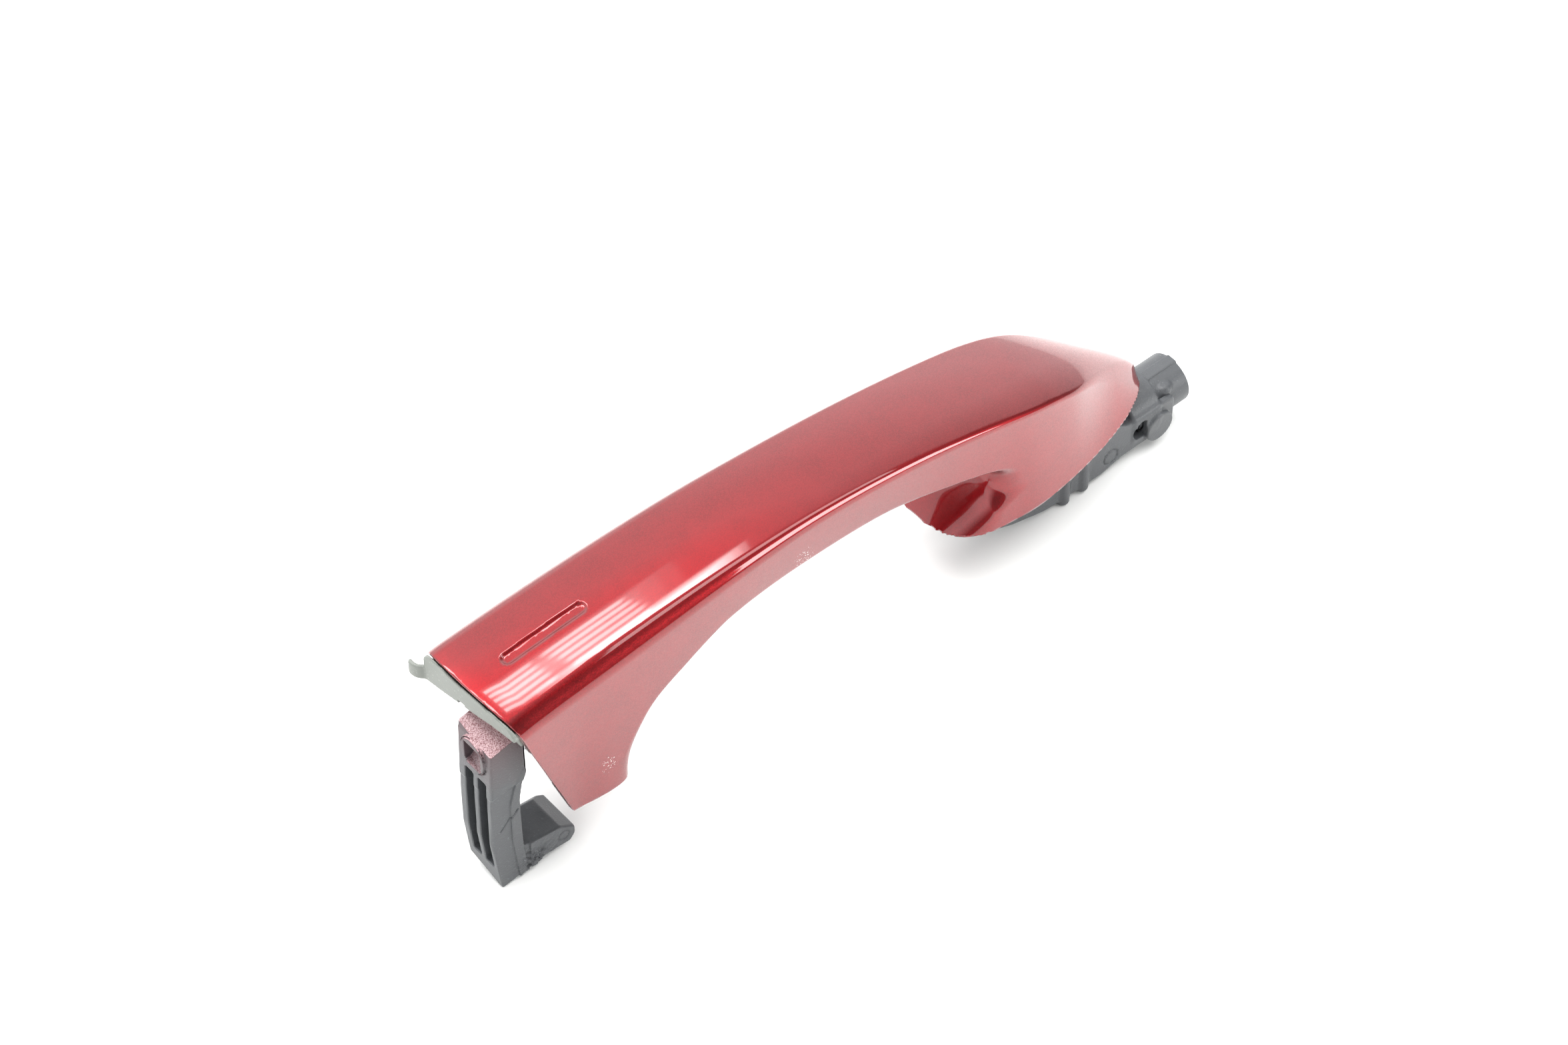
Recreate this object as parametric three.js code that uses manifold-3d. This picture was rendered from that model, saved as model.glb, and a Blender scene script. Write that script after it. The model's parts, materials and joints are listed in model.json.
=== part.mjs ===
// Exterior pull handle of a car door: a painted arched grip with a touch groove, a hook arm at one end,
// a pivot arm with a connector at the other, and the keyless-entry electronics inside the grip.
// Millimetres, +Z points out of the door. Inside the handle group X starts at the hook end and
// z = 0 is the door skin; the whole group is then moved so that the origin is the hook-end seat.
import * as THREE from 'three';
import * as BufferGeometryUtils from 'three/addons/utils/BufferGeometryUtils.js';
import Module from 'manifold-3d';

const wasm = await Module();
wasm.setup();

// ---- driving dimensions ----------------------------------------------------------------------
const SEAT_X = 24;            // centre of the hook-end seat, the part's origin
const TIP_X = 207.6;          // painted tip at the pivot end
const WALL = 2.4;             // wall of the painted cover
const GAP = 0.3;              // clearance between neighbouring pieces

const PEAK = { x: 65, z: 45.9, riseLeft: 0.00076, dropRight: 0.00154 };   // crease line of the arch
const CROWN = 1.6;            // height of the top face's middle over its creases
const LEAN = 0.345;           // the hook-end edge leans by this much x per z
const END_X = 2.5;            // hook-end edge at END_Z
const END_Z = 42;

const HOOK_FOOT = { wide: 16.7, from: 27, nose: 38.5, p: 2, q: 0.6 };
const PIVOT_FOOT = { wide: 17.6, from: 158, nose: 134.5, p: 2.6, q: 0.36, tipP: 1.5, tipQ: 0.48 };

const GROOVE = { x0: 11, x1: 34.5, half: 1.5, deep: 0.8 };

const ARM = { front: -2.4, back: 5.9, near: -10.3, far: 1.5, top: 33, peak: 34, tip: -20.4 };
const BOSS = { z: 26.2, halfY: 4.6, halfZ: 5.9, pocketY: 2.9 };   // oval ring on the arm's front
const TOE = { end: 20.6, top: -9.9, slope: 1.6, bevel: 16.5, sole: -18.6 };
const PIVOT = { near: -8.5, far: 7.5, left: 150, right: 214.5, sole: -18.6, top: -7 };
const PLUG = { y: -0.5, z: -11, halfY: 7, halfZ: 6.5, back: 204, mouth: 221, wall: 1.4 };
const PIN_Y = [-3.1, -1.37, 0.37, 2.1];                       // the four terminals across the plug
const CHANNEL = { near: -4.4, far: 3.4, low: -14, high: -8 };  // tunnel for the leads to the plug
const ARM_SCREW = { x: 10.5, y: -4.4, r: 1.4, head: 2.6 };
const SCREW = { x: 160, y: 11.2, r: 1.5, head: 2.6, bossR: 2.9, bossLow: 4.8, end: 11 };
const BAY = { x: 94, z: 34.2, tilt: 3.6 };                    // tray floor's middle, slope in degrees

// half width of the top face at the crease, and of the skirts at the door, along x
const CREASE_HALF = [[0, 16.7], [36, 16], [70, 14.8], [92, 13.9], [120, 13.7], [158, 14.1]];
const SKIRT_HALF = [[0, 16.2], [17, 15.5], [27, 16.7], [50, 14.6], [80, 9], [115, 8], [140, 15.2],
  [158, 17.6]];
// radius that rounds the crease: soft at the hook end, sharp near the pivot leg, soft on the tip
const CREASE_R = [[0, 4.3], [36, 4.2], [70, 3.2], [92, 2.4], [143, 1.5], [170, 1.1], [179, 2.2], [187, 4.6],
  [193, 4.8], [199, 4], [203, 2.9], [206, 1.7]];
// height of the skirts' lower edge along the grip
const EDGE_Z = [[49, 25], [58, 27.8], [66, 29.5], [77, 29.9], [95, 28.9], [112, 27.7], [128, 25.1],
  [136, 23.8]];
// finger side of each leg, x over z: at its outer edges and in its middle
const HOOK_EDGE = [[0, 30.3], [4, 30.4], [8, 31], [12, 32.6], [16, 35.2], [20, 38.4], [22.5, 42],
  [25, 49]];
const HOOK_MIDDLE = [[0, 37.5], [4, 37.7], [9, 38.8], [14, 41], [18, 43.6], [21, 47], [24.3, 54]];
const PIVOT_EDGE = [[0, 158], [5, 157.2], [10, 155], [15, 151.3], [18, 148.8], [21, 144.6], [23.8, 136]];
const PIVOT_MIDDLE = [[0, 134.5], [3, 138], [7, 143.2], [12, 147.6], [16, 148.6], [20, 145.8],
  [23.5, 138]];

const METAL_RED = { color: 0x8e1218, roughness: 0.25, metalness: 0.6 };
const DARK = { color: 0x3a3c3f, roughness: 0.55, metalness: 0 };
const GREY = { color: 0xa9b0a9, roughness: 0.5, metalness: 0 };
const BLACK = { color: 0x1b1c1e, roughness: 0.6, metalness: 0 };
const BOARD = { color: 0x1f5a35, roughness: 0.5, metalness: 0 };
const CERAMIC = { color: 0x4a4540, roughness: 0.7, metalness: 0 };
const COPPER = { color: 0xb4683a, roughness: 0.35, metalness: 1 };
const STEEL = { color: 0xb8bbbe, roughness: 0.35, metalness: 1 };
const FOAM = { color: 0x5c5f63, roughness: 0.95, metalness: 0 };

// ---- small tools -----------------------------------------------------------------------------
const clamp01 = (t) => Math.min(1, Math.max(0, t));

// smooth curve through [x, value] knots, flat beyond both ends
function curve(knots, x) {
  const last = knots.length - 1;
  if (x <= knots[0][0]) return knots[0][1];
  if (x >= knots[last][0]) return knots[last][1];
  const i = knots.findIndex((k) => k[0] > x) - 1;
  const slope = (a, b) => (knots[b][1] - knots[a][1]) / (knots[b][0] - knots[a][0]);
  const span = knots[i + 1][0] - knots[i][0];
  const m0 = slope(Math.max(0, i - 1), i + 1) * span;
  const m1 = slope(i, Math.min(last, i + 2)) * span;
  const t = (x - knots[i][0]) / span;
  const h = [2 * t ** 3 - 3 * t ** 2 + 1, t ** 3 - 2 * t ** 2 + t, 3 * t ** 2 - 2 * t ** 3, t ** 3 - t ** 2];
  return h[0] * knots[i][1] + h[1] * m0 + h[2] * knots[i + 1][1] + h[3] * m1;
}

function toSolid(geometry) {
  let g = geometry.clone();
  g.deleteAttribute('normal');
  g.deleteAttribute('uv');
  g = BufferGeometryUtils.mergeVertices(g, 1e-4);
  return new wasm.Manifold(new wasm.Mesh({
    numProp: 3,
    vertProperties: new Float32Array(g.attributes.position.array),
    triVerts: new Uint32Array(g.index.array),
  }));
}

function toGeometry(solid) {
  const m = solid.getMesh();
  const g = new THREE.BufferGeometry();
  g.setAttribute('position', new THREE.BufferAttribute(new Float32Array(m.vertProperties), 3));
  g.setIndex(new THREE.BufferAttribute(new Uint32Array(m.triVerts), 1));
  return g;
}

function signedVolume(points, index) {
  let sum = 0;
  for (let i = 0; i < index.length; i += 3) {
    const [a, b, c] = [points[index[i]], points[index[i + 1]], points[index[i + 2]]];
    sum += a.dot(new THREE.Vector3().crossVectors(b, c));
  }
  return sum;
}

// closed body through equal rings of points; flat(p) gives a ring point's 2-D place for its end caps
function loft(rings, flat) {
  const points = rings.flat();
  const n = rings[0].length;
  const index = [];
  for (let i = 0; i < rings.length - 1; i++) {
    for (let j = 0; j < n; j++) {
      const [a, b] = [i * n + j, i * n + ((j + 1) % n)];
      index.push(a, b, b + n, a, b + n, a + n);
    }
  }
  const outlineOf = (ring) => ring.map((p) => new THREE.Vector2(...flat(p)));
  const cap = (ring, base, flip) => {
    for (const [a, b, c] of THREE.ShapeUtils.triangulateShape(outlineOf(ring), [])) {
      index.push(base + a, base + (flip ? c : b), base + (flip ? b : c));
    }
  };
  const ccw = !THREE.ShapeUtils.isClockWise(outlineOf(rings[0]));
  cap(rings[0], 0, ccw);
  cap(rings[rings.length - 1], (rings.length - 1) * n, !ccw);
  if (signedVolume(points, index) < 0) index.reverse();
  const g = new THREE.BufferGeometry();
  g.setAttribute('position', new THREE.Float32BufferAttribute(points.flatMap((p) => p.toArray()), 3));
  g.setIndex(index);
  return g;
}

const range = (from, to, count) => Array.from({ length: count + 1 },
  (_, i) => from + (to - from) * i / count);
const box = (x0, x1, y0, y1, z0, z1) => new THREE.BoxGeometry(x1 - x0, y1 - y0, z1 - z0)
  .translate((x0 + x1) / 2, (y0 + y1) / 2, (z0 + z1) / 2);

// outline in x and z, extruded across the handle from y0 to y1
function slabXZ(outline, y0, y1) {
  const shape = new THREE.Shape(outline.map(([x, z]) => new THREE.Vector2(x, z)));
  return new THREE.ExtrudeGeometry(shape, { depth: y1 - y0, bevelEnabled: false, curveSegments: 8 })
    .rotateX(Math.PI / 2).translate(0, y1, 0);
}

// outline in y and z, extruded along the handle from x0 to x1
function slabYZ(outline, x0, x1) {
  const shape = new THREE.Shape(outline.map(([y, z]) => new THREE.Vector2(y, z)));
  return new THREE.ExtrudeGeometry(shape, { depth: x1 - x0, bevelEnabled: false })
    .rotateX(Math.PI / 2).rotateZ(Math.PI / 2).translate(x0, 0, 0);
}

// outline in x and y, extruded from z0 to z1
function slabXY(outline, z0, z1) {
  const shape = new THREE.Shape(outline.map(([x, y]) => new THREE.Vector2(x, y)));
  return new THREE.ExtrudeGeometry(shape, { depth: z1 - z0, bevelEnabled: false }).translate(0, 0, z0);
}

const pinZ = (x, y, z0, z1, r, sides = 16) => new THREE.CylinderGeometry(r, r, z1 - z0, sides)
  .rotateX(Math.PI / 2).translate(x, y, (z0 + z1) / 2);
const pinY = (x, z, y0, y1, r, sides = 24) => new THREE.CylinderGeometry(r, r, y1 - y0, sides)
  .translate(x, (y0 + y1) / 2, z);
const minus = (solid, ...cuts) => cuts.reduce((s, c) => s.subtract(toSolid(c)), solid);
const plus = (solid, ...more) => more.reduce((s, c) => s.add(toSolid(c)), solid);

// oval bar along x
function ovalX(x0, x1, halfY, halfZ, sides = 28) {
  return new THREE.CylinderGeometry(1, 1, x1 - x0, sides).rotateZ(Math.PI / 2)
    .scale(1, halfY, halfZ).translate((x0 + x1) / 2, PLUG.y, PLUG.z);
}

// ---- the grip's outer form -------------------------------------------------------------------
const creaseZ = (x) => PEAK.z - (x < PEAK.x ? PEAK.riseLeft : PEAK.dropRight) * (x - PEAK.x) ** 2;
const endFade = (x) => (1 - clamp01((x - 165) / (TIP_X - 165)) ** 2.2) ** 0.62;
const topZ = (x) => creaseZ(x) * endFade(x);
const tipHalf = (x) => PIVOT_FOOT.wide
  * (1 - clamp01((x - PIVOT_FOOT.from) / (TIP_X - PIVOT_FOOT.from)) ** PIVOT_FOOT.tipP) ** PIVOT_FOOT.tipQ;
const skirtHalf = (x) => (x < PIVOT_FOOT.from ? curve(SKIRT_HALF, x) : tipHalf(x));
const tipShare = (x) => 0.8 - 0.2 * clamp01((x - 165) / 25) ** 2 * (3 - 2 * clamp01((x - 165) / 25));
const creaseHalf = (x) => (x < PIVOT_FOOT.from ? curve(CREASE_HALF, x) : tipShare(x) * tipHalf(x));

// half of the cross-section at x, from the door skin up to the middle of the top face
function sectionHalf(x, inset, z0) {
  const top = Math.max(topZ(x) - inset, z0 + 0.6);
  const skirt = Math.max(skirtHalf(x) - inset, 0.4);
  const crease = Math.max(creaseHalf(x) - inset, 0.3);
  const r = Math.min(Math.max(curve(CREASE_R, x) - inset * 0.6, 0.5), 0.7 * (top - z0), 0.8 * crease);
  const points = [];
  for (const u of [0, 0.3, 0.65, 1]) {
    const z = z0 + (top - r - z0) * u;
    points.push([crease + (skirt - crease) * (1 - clamp01((z - z0) / (top - z0))) ** 1.5, z]);
  }
  const side = points[points.length - 1][0];
  for (const angle of [30, 60]) {
    const a = THREE.MathUtils.degToRad(angle);
    points.push([side - r * (1 - Math.cos(a)), top - r * (1 - Math.sin(a))]);
  }
  for (const u of [1, 0.55]) {
    const y = (side - r) * u;
    points.push([y, top + CROWN * (1 - (y / side) ** 2)]);
  }
  points.push([0, top + CROWN]);
  return points;
}

function gripForm(stations, inset, z0) {
  const rings = stations.map((x) => {
    const half = sectionHalf(x, inset, z0);
    const other = half.slice(0, -1).reverse().map(([y, z]) => [-y, z]);
    return [...half, ...other].map(([y, z]) => new THREE.Vector3(x, y, z));
  });
  return loft(rings, (p) => [p.y, p.z]);
}

// the finger opening under the grip: both legs end in a rounded nose on the door side
const undersideZ = (x, y) => curve(EDGE_Z, x) - 1.2 * (1 - clamp01(Math.abs(y) / 15) ** 2);
const noseShare = (foot, y) => (1 - clamp01(Math.abs(y) / foot.wide) ** (1 / foot.q)) ** (1 / foot.p);

function openingForm(grow) {
  const across = [0, 5, 9, 12, 14, 15.5, 16.4, 17.1, 17.6, 22];
  const ys = [...across.slice(1).reverse().map((y) => -y), ...across];
  const blend = (edge, middle, foot, z, y) => {
    const e = curve(edge, z);
    return e + (curve(middle, z) - e) * noseShare(foot, y);
  };
  const rings = ys.map((y) => {
    const outline = [[HOOK_FOOT.from + 10, -8]];
    for (const z of [0, 4, 8, 12, 16, 20]) {
      outline.push([blend(HOOK_EDGE, HOOK_MIDDLE, HOOK_FOOT, z, y) - grow, z]);
    }
    for (const x of range(50, 134, 12)) outline.push([x, undersideZ(x, y) + grow]);
    for (const z of [21.5, 18, 14.5, 11, 7, 3.5, 0]) {
      outline.push([blend(PIVOT_EDGE, PIVOT_MIDDLE, PIVOT_FOOT, z, y) + grow, z]);
    }
    outline[0][0] = outline[1][0];
    outline.push([outline[outline.length - 1][0], -8]);
    return outline.map(([x, z]) => new THREE.Vector3(x, y, z));
  });
  return loft(rings, (p) => [p.x, p.z]);
}

const leanX = (z) => END_X + (END_Z - z) * LEAN;

function hookEndCut() {
  return slabXZ([[-30, -20], [leanX(-20), -20], [leanX(60), 60], [-30, 60]], -30, 30);
}

const OUTER_STATIONS = [-6, 4, 14, 22, 30, 38, ...range(46, 142, 12), 148, 154, 160, 166, 172, 178, 184, 189,
  194, 198, 201.5, 204, 206, 207.2];
const INNER_STATIONS = [-8, 10, 22, 34, ...range(46, 142, 8), 150, 158, 166, 174, 182, 190, 197, 202.5];

// space inside the painted wall, less a clearance
const room = (gap) => minus(toSolid(gripForm(INNER_STATIONS, WALL + gap, -2)), openingForm(WALL + gap));

function outerCover() {
  const cavity = room(0);
  const slot = slabXZ(underStrip(52, 138, -5, WALL + 2), -9 - GAP, 9 + GAP);
  let cover = toSolid(gripForm(OUTER_STATIONS, 0, 0));
  cover = minus(cover, hookEndCut(), openingForm(0));
  cover = cover.subtract(cavity);
  cover = minus(cover, slot, touchGroove());
  for (const side of [-1, 1]) {
    const boss = toSolid(pinZ(SCREW.x, side * SCREW.y, SCREW.bossLow, 27, SCREW.bossR));
    cover = cover.add(boss.subtract(toSolid(pinZ(SCREW.x, side * SCREW.y, 0, 18, SCREW.r + GAP))));
  }
  return cover;
}

// strip along the underside between x0 and x1, from low to high over the underside's middle line
function underStrip(x0, x1, low, high) {
  const xs = range(x0, x1, 12);
  const edge = (x, lift) => [x, undersideZ(x, 0) + lift];
  return [...xs.map((x) => edge(x, low)), ...xs.reverse().map((x) => edge(x, high))];
}

function touchGroove() {
  const shape = new THREE.Shape();
  const r = GROOVE.half;
  shape.moveTo(GROOVE.x0 + r, -r);
  shape.lineTo(GROOVE.x1 - r, -r);
  shape.absarc(GROOVE.x1 - r, 0, r, -Math.PI / 2, Math.PI / 2);
  shape.lineTo(GROOVE.x0 + r, r);
  shape.absarc(GROOVE.x0 + r, 0, r, Math.PI / 2, 1.5 * Math.PI);
  const mid = (GROOVE.x0 + GROOVE.x1) / 2;
  const rise = Math.atan2(creaseZ(GROOVE.x1) - creaseZ(GROOVE.x0), GROOVE.x1 - GROOVE.x0);
  return new THREE.ExtrudeGeometry(shape, { depth: 6, bevelEnabled: false, curveSegments: 6 })
    .translate(-mid, 0, -GROOVE.deep).rotateY(-rise).translate(mid, 0, creaseZ(mid) + CROWN);
}

function gripInnerShell() {
  const rings = range(52 + GAP, 138 - GAP, 16).map((x) => {
    const z = (y) => undersideZ(x, y);
    const low = [-9, -4.5, 0, 4.5, 9].map((y) => [y, z(y)]);
    const high = [9, -9].map((y) => [y, z(0) + WALL]);
    return [...low, ...high].map(([y, zz]) => new THREE.Vector3(x, y, zz));
  });
  return toSolid(loft(rings, (p) => [p.y, p.z]));
}

// ---- hook end --------------------------------------------------------------------------------
// light plate that closes the hook end, with a proud strip on top, a notch and a curled locating lug
function endPlate() {
  const low = 4;
  const plate = slabXZ([[leanX(low) + 2.2, low], [leanX(low) + 4.2, low], [leanX(32) + 4.2, 32],
    [16, 33.4], [38, 34.4], [38, 36.2], [6.6, 36.2], [6.6, 40.6], [leanX(40.6) - 0.6, 40.6],
    [leanX(33.4) - 0.6, 33.4],
    [leanX(32) + 2.2, 32]], -16, 16);
  const bar = slabXZ([[1, 32], [1, 43.6], [leanX(43.6) - GAP, 43.6], [leanX(32) - GAP, 32]], -15.9, 15.9);
  const root = box(-5, 20, ARM.near - GAP, ARM.far + GAP, 10, ARM.peak + GAP);
  const notch = box(-2, 6, 1.2, 3.2, 30, 37);
  const bore = pinZ(ARM_SCREW.x, ARM_SCREW.y, 30, 40, ARM_SCREW.r + GAP);
  const shelfSides = [box(14, 40, -30, -8, 30, 40), box(14, 40, 8, 30, 30, 40)];
  const underCut = slabYZ([[-20, 20], [20, 20], [20, 31.6], [15.9, 32.4], [3, 35.9], [0, 36.6], [-9, 38.6],
    [-20, 39.6]], -5, 8);
  const strip = toSolid(bar).intersect(toSolid(gripForm([-6, 4, 14], 0.35, 0)));
  const closer = toSolid(plate).intersect(room(GAP)).add(minus(strip, underCut));
  return plus(minus(closer, root, notch, bore, ...shelfSides), curledLug());
}

function curledLug() {
  const shape = new THREE.Shape();
  const centre = { x: 2.4, y: 18.7 };
  shape.absarc(centre.x, centre.y, 3.7, -0.45 * Math.PI, -1.1 * Math.PI, true);
  shape.absarc(centre.x, centre.y, 2.7, -1.1 * Math.PI, -0.45 * Math.PI, false);
  return new THREE.ExtrudeGeometry(shape, { depth: 4.4, bevelEnabled: false, curveSegments: 8 })
    .translate(0, 0, 32.6);
}

function hookArm() {
  const side = [[ARM.front + 1.9, ARM.peak + 1], [ARM.front + 1.1, ARM.top - 2], [ARM.front + 0.2, 10],
    [ARM.front, -3], [ARM.front + 0.9, -13], [ARM.front + 1.7, ARM.tip], [6.3, ARM.tip + 0.8],
    [9.9, TOE.sole - 0.6],
    [13.5, TOE.sole + 0.4], [TOE.end - 1.4, TOE.sole], [TOE.end, TOE.sole + 1.8], [TOE.end, TOE.top - 4.5],
    [TOE.bevel, TOE.top - TOE.slope], [ARM.back + 0.4, TOE.top], [ARM.back, -6], [ARM.back - 0.1, 9],
    [ARM.back + 0.8, 14], [ARM.back + 2.3, 18.6], [15.5, 20.4], [15.5, ARM.peak + 1]];
  let arm = toSolid(slabXZ(side, ARM.near, ARM.far));
  const soleCut = new THREE.BoxGeometry(60, 40, 10).translate(10, 20, -5)
    .rotateX(THREE.MathUtils.degToRad(18)).translate(0, ARM.near, ARM.tip - 0.3);
  const slots = [[-8.3, -5.2], [-3.6, -0.6]].map(([y0, y1]) => box(-8, ARM.back - 2.6, y0, y1, -13, 19));
  const roof = new THREE.BoxGeometry(80, 60, 20).translate(0, 0, 10).rotateX(Math.atan(0.21))
    .rotateY(-Math.atan(0.2)).translate(-0.5, ARM.far, ARM.top);
  const midY = (ARM.near + ARM.far) / 2;
  const boss = new THREE.CylinderGeometry(1, 1, 5, 24).rotateZ(Math.PI / 2).scale(1, BOSS.halfY, BOSS.halfZ)
    .translate(ARM.front + 2.55, midY, BOSS.z);
  const pocket = slabXZ([[-8, 22.3], [-1.3, 22.3], [4.1, 29.5], [-8, 29.5]], midY - BOSS.pocketY,
    midY + BOSS.pocketY);
  arm = plus(minus(arm, soleCut, ...slots), boss);
  arm = minus(arm, roof, box(-10, 30, -30, 30, ARM.peak, 50));
  return minus(arm, pocket, pinZ(ARM_SCREW.x, ARM_SCREW.y, 15, 40, ARM_SCREW.r + GAP),
    pinZ(ARM_SCREW.x, ARM_SCREW.y, 15, 23, ARM_SCREW.head + GAP));
}

function armScrew() {
  return plus(toSolid(pinZ(ARM_SCREW.x, ARM_SCREW.y, 20.4, 22.7, ARM_SCREW.head)),
    pinZ(ARM_SCREW.x, ARM_SCREW.y, 22, 36, ARM_SCREW.r));
}

// floor plate that closes the hook-end leg and rests on the door skin
function hookFootInsert() {
  const plate = toSolid(box(20, 40, -20, 20, 0, 3)).intersect(room(GAP));
  return plus(plate, box(24, 26, -10, 10, 2.5, 9), box(24, 31, -1, 1, 2.5, 9));
}

// ---- pivot end -------------------------------------------------------------------------------
function pivotArm() {
  const flange = toSolid(box(130, 200, -20, 20, 0, 4.5)).intersect(room(GAP));
  const blade = slabXZ([[PIVOT.left, 2], [PIVOT.left, -11], [160, -15.4], [171, PIVOT.sole],
    [190, PIVOT.sole - 0.6], [197, -17.4], [PIVOT.right - 1.5, -17.4], [PIVOT.right, -16],
    [PIVOT.right, PIVOT.top], [199, PIVOT.top], [193, -3], [190, -0.4], [190, 2]], PIVOT.near, PIVOT.far);
  const ribs = [[177.6, -20.8], [184, -20.4]].flatMap(([x, z]) => [PIVOT.near + 1, PIVOT.far - 1]
    .map((y) => pinZ(x, y, z, 1, 1.9)));
  const lobe = pinY(208.6, -13.4, PIVOT.near - 1.4, PIVOT.far + 1.4, 4.4);
  const pocket = pinY(203.6, -11, PIVOT.near - 3, PIVOT.near + 2.2, 2.9);
  const socket = ovalX(PLUG.back - GAP, 230, PLUG.halfY + GAP, PLUG.halfZ + GAP);
  const tunnel = box(156, 210, CHANNEL.near, CHANNEL.far, CHANNEL.low, CHANNEL.high);
  const shaft = box(156, 168, CHANNEL.near, CHANNEL.far, CHANNEL.low, 10);
  let arm = plus(flange, blade, ...ribs, lobe);
  arm = minus(arm, pocket, socket, tunnel, shaft);
  for (const side of [-1, 1]) {
    arm = minus(arm, pinZ(SCREW.x, side * SCREW.y, -3, 8, SCREW.r + GAP),
      pinZ(SCREW.x, side * SCREW.y, -3, 2.6, SCREW.head + GAP));
  }
  return arm;
}

function pivotScrew(side) {
  return plus(toSolid(pinZ(SCREW.x, side * SCREW.y, 0.4, 2.3, SCREW.head)),
    pinZ(SCREW.x, side * SCREW.y, 2, SCREW.end, SCREW.r));
}

function connectorShell() {
  const tube = toSolid(ovalX(PLUG.back, PLUG.mouth, PLUG.halfY, PLUG.halfZ));
  const mouth = ovalX(211, 230, PLUG.halfY - PLUG.wall, PLUG.halfZ - PLUG.wall);
  const rear = ovalX(200, 206.5, PLUG.halfY - PLUG.wall, PLUG.halfZ - PLUG.wall);
  const seat = box(204, 213, -4.6, 3.6, -14.2, -7.8);
  const crown = PLUG.z + PLUG.halfZ;
  const key = box(208, PLUG.mouth, PLUG.y - 1.4, PLUG.y + 1.4, crown - 0.8, crown + 0.35);
  return plus(minus(tube, mouth, rear, seat), key);
}

function terminalCarrier() {
  const plate = toSolid(box(206.8, 210.8, -4.6 + GAP, 3.6 - GAP, -14.2 + GAP, -7.8 - GAP));
  return minus(plate, ...PIN_Y.map((y) => box(200, 220, y - 0.6, y + 0.6, PLUG.z - 0.6, PLUG.z + 0.6)));
}

const terminalPin = (y) => toSolid(box(204.4, 217, y - 0.32, y + 0.32, PLUG.z - 0.32, PLUG.z + 0.32));

// ---- electronics, laid along the grip in a frame of their own --------------------------------
function tray() {
  const channel = toSolid(box(-36, 34, -9, 9, 0, 4.4));
  const inside = box(-34.8, 40, -7.8, 7.8, 1.2, 8);
  const post = (x) => box(x, x + 2, -7.8, 7.8, 1, 2.2);
  return plus(minus(channel, inside), post(6), post(29));
}

function bobbin() {
  const core = toSolid(box(-33, 1, -4, 4, 2.2, 5.2));
  const bore = box(-40, 8, -2.8, 2.8, 2.8, 4.6);
  const flange = (x) => box(x, x + 1.5, -6, 6, 1.5, 5.9);
  return minus(plus(core, flange(-33), flange(-0.5)), bore);
}

function winding() {
  return minus(toSolid(box(-31.2, -0.8, -5.6, 5.6, 1.5, 5.9)), box(-40, 8, -4.3, 4.3, 1.9, 5.5));
}

function wire(points, radius, sides = 6) {
  const path = new THREE.CatmullRomCurve3(points.map((p) => new THREE.Vector3(...p)));
  const ring = new THREE.Shape(range(0, 2 * Math.PI, sides).slice(0, -1)
    .map((a) => new THREE.Vector2(radius * Math.cos(a), radius * Math.sin(a))));
  const steps = 6 * points.length;
  return new THREE.ExtrudeGeometry(ring, { steps, extrudePath: path, bevelEnabled: false });
}

// lead from the circuit board down through the pivot leg to one terminal
function lead(i) {
  const y = PIN_Y[i];
  const spread = (i - 1.5) * 2.4;
  return toSolid(wire([[127.4, spread, 35.2], [138, spread * 0.9, 31.5], [150, spread * 0.8, 25.5],
    [158, spread * 0.6, 16], [161, y * 0.9, 6], [163, y, -4], [169, y, -10], [180, y, PLUG.z],
    [192, y, PLUG.z], [204, y, PLUG.z]], 0.55));
}

// thin wires inside the grip: lock pad to board, finger-side pad to board, winding to board
const lockLead = () => toSolid(wire([[33.4, 0, 36.9], [42, -4, 37.5], [52, -10.2, 38.2], [70, -10.2, 37.6],
  [90, -10.2, 36.6], [97, -9.4, 39.2], [101, -6.8, 38.6], [102.4, -6.3, 37.9]], 0.4));
const unlockLead = () => toSolid(wire([[128.4, 4, 28.6], [130.8, 5, 29.6], [131.2, 6, 33],
  [129.4, 6.2, 35.3], [127.3, 6.2, 35.3]], 0.4));
const windingLead = (side) => toSolid(wire([[91.6, side * 6.4, 37.4], [94, side * 6.9, 37.4],
  [96.4, side * 6.9, 37.2], [98.4, side * 6.2, 37]], 0.3));

function unlockElectrode() {
  return toSolid(slabXZ(underStrip(60, 128, WALL + GAP, WALL + GAP + 0.5), -6, 6));
}

// ---- assembly --------------------------------------------------------------------------------
function named(name, solid, finish) {
  const mesh = new THREE.Mesh(toGeometry(solid), new THREE.MeshStandardMaterial(finish));
  mesh.name = name;
  return mesh;
}

const handle = new THREE.Group();
handle.position.x = -SEAT_X;
handle.add(named('outer_cover', outerCover(), METAL_RED));
handle.add(named('grip_inner_shell', gripInnerShell(), METAL_RED));
handle.add(named('end_plate', endPlate(), GREY));
handle.add(named('hook_arm', hookArm(), DARK));
handle.add(named('hook_arm_screw', armScrew(), STEEL));
handle.add(named('hook_foot_insert', hookFootInsert(), BLACK));
handle.add(named('pivot_arm', pivotArm(), DARK));
handle.add(named('pivot_screw_near', pivotScrew(-1), STEEL));
handle.add(named('pivot_screw_far', pivotScrew(1), STEEL));
handle.add(named('connector_shell', connectorShell(), DARK));
handle.add(named('terminal_carrier', terminalCarrier(), BLACK));
PIN_Y.forEach((y, i) => {
  handle.add(named(`terminal_pin_${i + 1}`, terminalPin(y), COPPER));
  handle.add(named(`lead_${i + 1}`, lead(i), BLACK));
});
handle.add(named('lock_electrode', toSolid(box(12, 33, -4, 4, 36.6, 37.2)), COPPER));
handle.add(named('unlock_electrode', unlockElectrode(), COPPER));
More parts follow.
